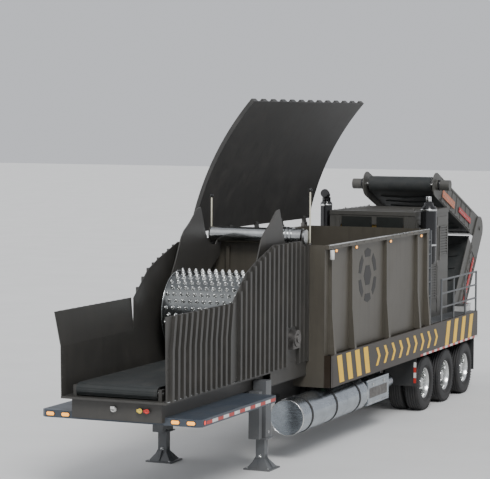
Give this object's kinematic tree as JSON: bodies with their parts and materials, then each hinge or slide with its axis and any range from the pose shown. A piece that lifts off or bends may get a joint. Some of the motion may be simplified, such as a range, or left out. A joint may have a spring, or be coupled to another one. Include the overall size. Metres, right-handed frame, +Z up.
{
  "type": "trailer-mounted horizontal grinder",
  "caption": "Semi-trailer grinder: ribbed infeed trough with belt and toothed feed drum, mill, bin with a curved lid, engine house and folding discharge conveyor.",
  "frame": {"origin": "centre of the whole machine on the ground", "axes": "+X along the trailer from the infeed towards the discharge conveyor, +Z up, +Y towards the side that the lid is hinged on"},
  "size_m": [16.325, 2.598, 5.898],
  "materials": {
    "chassis_paint": "satin dark grey enamel with dust",
    "wall_paint": "satin dark warm grey enamel, scuffed",
    "deck_paint": "satin blue-grey, dusty and scuffed",
    "belt_rubber": "matte black ribbed rubber",
    "worn_steel": "worn bright steel",
    "polished_steel": "polished steel",
    "raw_steel": "dull machined iron",
    "bin_paint": "satin olive grey enamel, streaked",
    "lid_paint": "matte dark grey, streaked inside",
    "band_paint": "dark brown enamel with yellow hazard bars",
    "amber_lens": "amber lens, lit",
    "tank_aluminium": "polished aluminium",
    "strap_black": "black strap",
    "cap_green": "green paint",
    "tyre_rubber": "matte black tyre rubber",
    "fittings": "yellow, red and white fittings",
    "house_paint": "satin grey enamel",
    "engine_paint": "engine enamel on cast iron",
    "flap_rubber": "black flap",
    "leg_steel": "grey enamel"
  },
  "bodies": {
    "trailer": {"chassis_rails": "chassis_paint", "crossmembers": "chassis_paint", "deck": "deck_paint", "kingpin_plate": "raw_steel", "front_connectors": "fittings", "infeed_bed": "wall_paint", "infeed_walls": "wall_paint", "infeed_ribs": "wall_paint", "infeed_belt": "belt_rubber", "indicator_rods": "fittings", "mill_screen": "raw_steel", "mill_anvil": "raw_steel", "rotor_bearings": "raw_steel", "bin_sides": "bin_paint", "bin_frame": "bin_paint", "bin_end_walls": "bin_paint", "bin_floor": "bin_paint", "belly_belt": "belt_rubber", "lid_hinges": "raw_steel", "side_bands": "band_paint", "marker_lamps": "amber_lens", "fuel_tank": "tank_aluminium", "tank_straps": "strap_black", "toolbox": "tank_aluminium", "air_tank": "tank_aluminium", "leg_housings": "leg_steel", "axle_beams": "chassis_paint", "leaf_springs": "raw_steel", "engine_house": "house_paint", "engine": "engine_paint", "exhaust_stacks": "strap_black", "service_walkway": "leg_steel", "mudguards": "flap_rubber"},
    "bin_lid": {"bin_lid": "lid_paint", "lid_ribs": "lid_paint"},
    "feed_arm": {"feed_arm_plates": "wall_paint", "pivot_tube": "polished_steel", "feed_motor": "polished_steel"},
    "feed_drum": {"feed_drum": "polished_steel", "drum_teeth": "polished_steel"},
    "mill_rotor": {"mill_rotor": "raw_steel"},
    "infeed_roller_front": {"infeed_roller_front": "worn_steel"},
    "infeed_roller_rear": {"infeed_roller_rear": "worn_steel"},
    "fuel_cap": {"fuel_cap": "cap_green"},
    "leg_left": {"leg_left": "leg_steel"},
    "leg_right": {"leg_right": "leg_steel"},
    "cooling_fan": {"cooling_fan": "strap_black"},
    "incline": {"incline_frame": "house_paint", "incline_belt": "belt_rubber"},
    "fold": {"fold_frame": "house_paint", "fold_belt": "belt_rubber"},
    "knuckle_roller": {"knuckle_roller": "worn_steel"},
    "head_pulley": {"head_pulley": "worn_steel"},
    "tail_pulley": {"tail_pulley": "worn_steel"},
    "wheel_1_left": {"wheel_1_left": "tyre_rubber"},
    "wheel_1_right": {"wheel_1_right": "tyre_rubber"},
    "wheel_2_left": {"wheel_2_left": "tyre_rubber"},
    "wheel_2_right": {"wheel_2_right": "tyre_rubber"},
    "wheel_3_left": {"wheel_3_left": "tyre_rubber"},
    "wheel_3_right": {"wheel_3_right": "tyre_rubber"}
  },
  "joints": [
    {"name": "lid_hinge", "type": "hinge", "parent": "trailer", "child": "bin_lid", "pos_m": [-2.5405, 1.225, 3.52], "axis": [1, 0, 0], "range_deg": [0, 66.5]},
    {"name": "feed_arm_hinge", "type": "hinge", "parent": "trailer", "child": "feed_arm", "pos_m": [-2.6575, 0, 3.6], "axis": [0, 1, 0], "range_deg": [0, 25]},
    {"name": "feed_drum_spin", "type": "hinge", "parent": "feed_arm", "child": "feed_drum", "pos_m": [-4.3775, 0, 2.45], "axis": [0, 1, 0], "continuous": true},
    {"name": "mill_rotor_spin", "type": "hinge", "parent": "trailer", "child": "mill_rotor", "pos_m": [-3.1975, 0, 1.96], "axis": [0, 1, 0], "continuous": true},
    {"name": "infeed_belt_drive", "type": "hinge", "parent": "trailer", "child": "infeed_roller_rear", "pos_m": [-4.0615, 0, 1.616], "axis": [0, 1, 0], "continuous": true},
    {"name": "infeed_belt_tail", "type": "hinge", "parent": "trailer", "child": "infeed_roller_front", "pos_m": [-7.8435, 0, 1.616], "axis": [0, 1, 0], "continuous": true},
    {"name": "fuel_cap_turn", "type": "hinge", "parent": "trailer", "child": "fuel_cap", "pos_m": [-1.9947, -0.988, 1.065], "axis": [0, 0, 1], "continuous": true},
    {"name": "leg_left_slide", "type": "slide", "parent": "trailer", "child": "leg_left", "axis": [0, 0, -1], "range_m": [0, 0.35]},
    {"name": "leg_right_slide", "type": "slide", "parent": "trailer", "child": "leg_right", "axis": [0, 0, -1], "range_m": [0, 0.35]},
    {"name": "cooling_fan_spin", "type": "hinge", "parent": "trailer", "child": "cooling_fan", "pos_m": [3.3325, 0, 2.35], "axis": [1, 0, 0], "continuous": true},
    {"name": "incline_hinge", "type": "hinge", "parent": "trailer", "child": "incline", "pos_m": [6.1625, 0, 1.05], "axis": [0, 1, 0], "range_deg": [0, 18]},
    {"name": "fold_hinge", "type": "hinge", "parent": "incline", "child": "fold", "pos_m": [7.9025, 0, 3.2], "axis": [0, 1, 0], "range_deg": [0, 110]},
    {"name": "head_pulley_spin", "type": "hinge", "parent": "fold", "child": "head_pulley", "pos_m": [4.92412, 0, 4.22554], "axis": [0, 1, 0], "continuous": true},
    {"name": "knuckle_roller_spin", "type": "hinge", "parent": "incline", "child": "knuckle_roller", "pos_m": [7.9025, 0, 3.2], "axis": [0, 1, 0], "continuous": true},
    {"name": "tail_pulley_spin", "type": "hinge", "parent": "incline", "child": "tail_pulley", "pos_m": [6.1625, 0, 1.05], "axis": [0, 1, 0], "continuous": true},
    {"name": "wheel_1_left_spin", "type": "hinge", "parent": "trailer", "child": "wheel_1_left", "pos_m": [2.6945, -1.145, 0.52], "axis": [0, 1, 0], "continuous": true},
    {"name": "wheel_1_right_spin", "type": "hinge", "parent": "trailer", "child": "wheel_1_right", "pos_m": [2.6945, 1.145, 0.52], "axis": [0, 1, 0], "continuous": true},
    {"name": "wheel_2_left_spin", "type": "hinge", "parent": "trailer", "child": "wheel_2_left", "pos_m": [3.9845, -1.145, 0.52], "axis": [0, 1, 0], "continuous": true},
    {"name": "wheel_2_right_spin", "type": "hinge", "parent": "trailer", "child": "wheel_2_right", "pos_m": [3.9845, 1.145, 0.52], "axis": [0, 1, 0], "continuous": true},
    {"name": "wheel_3_left_spin", "type": "hinge", "parent": "trailer", "child": "wheel_3_left", "pos_m": [5.2745, -1.145, 0.52], "axis": [0, 1, 0], "continuous": true},
    {"name": "wheel_3_right_spin", "type": "hinge", "parent": "trailer", "child": "wheel_3_right", "pos_m": [5.2745, 1.145, 0.52], "axis": [0, 1, 0], "continuous": true}
  ],
  "couplings": [
    {"joint": "infeed_belt_tail", "follows": "infeed_belt_drive", "ratio": 1},
    {"joint": "leg_right_slide", "follows": "leg_left_slide", "ratio": 1},
    {"joint": "knuckle_roller_spin", "follows": "head_pulley_spin", "ratio": 0.998},
    {"joint": "tail_pulley_spin", "follows": "head_pulley_spin", "ratio": 1}
  ]
}
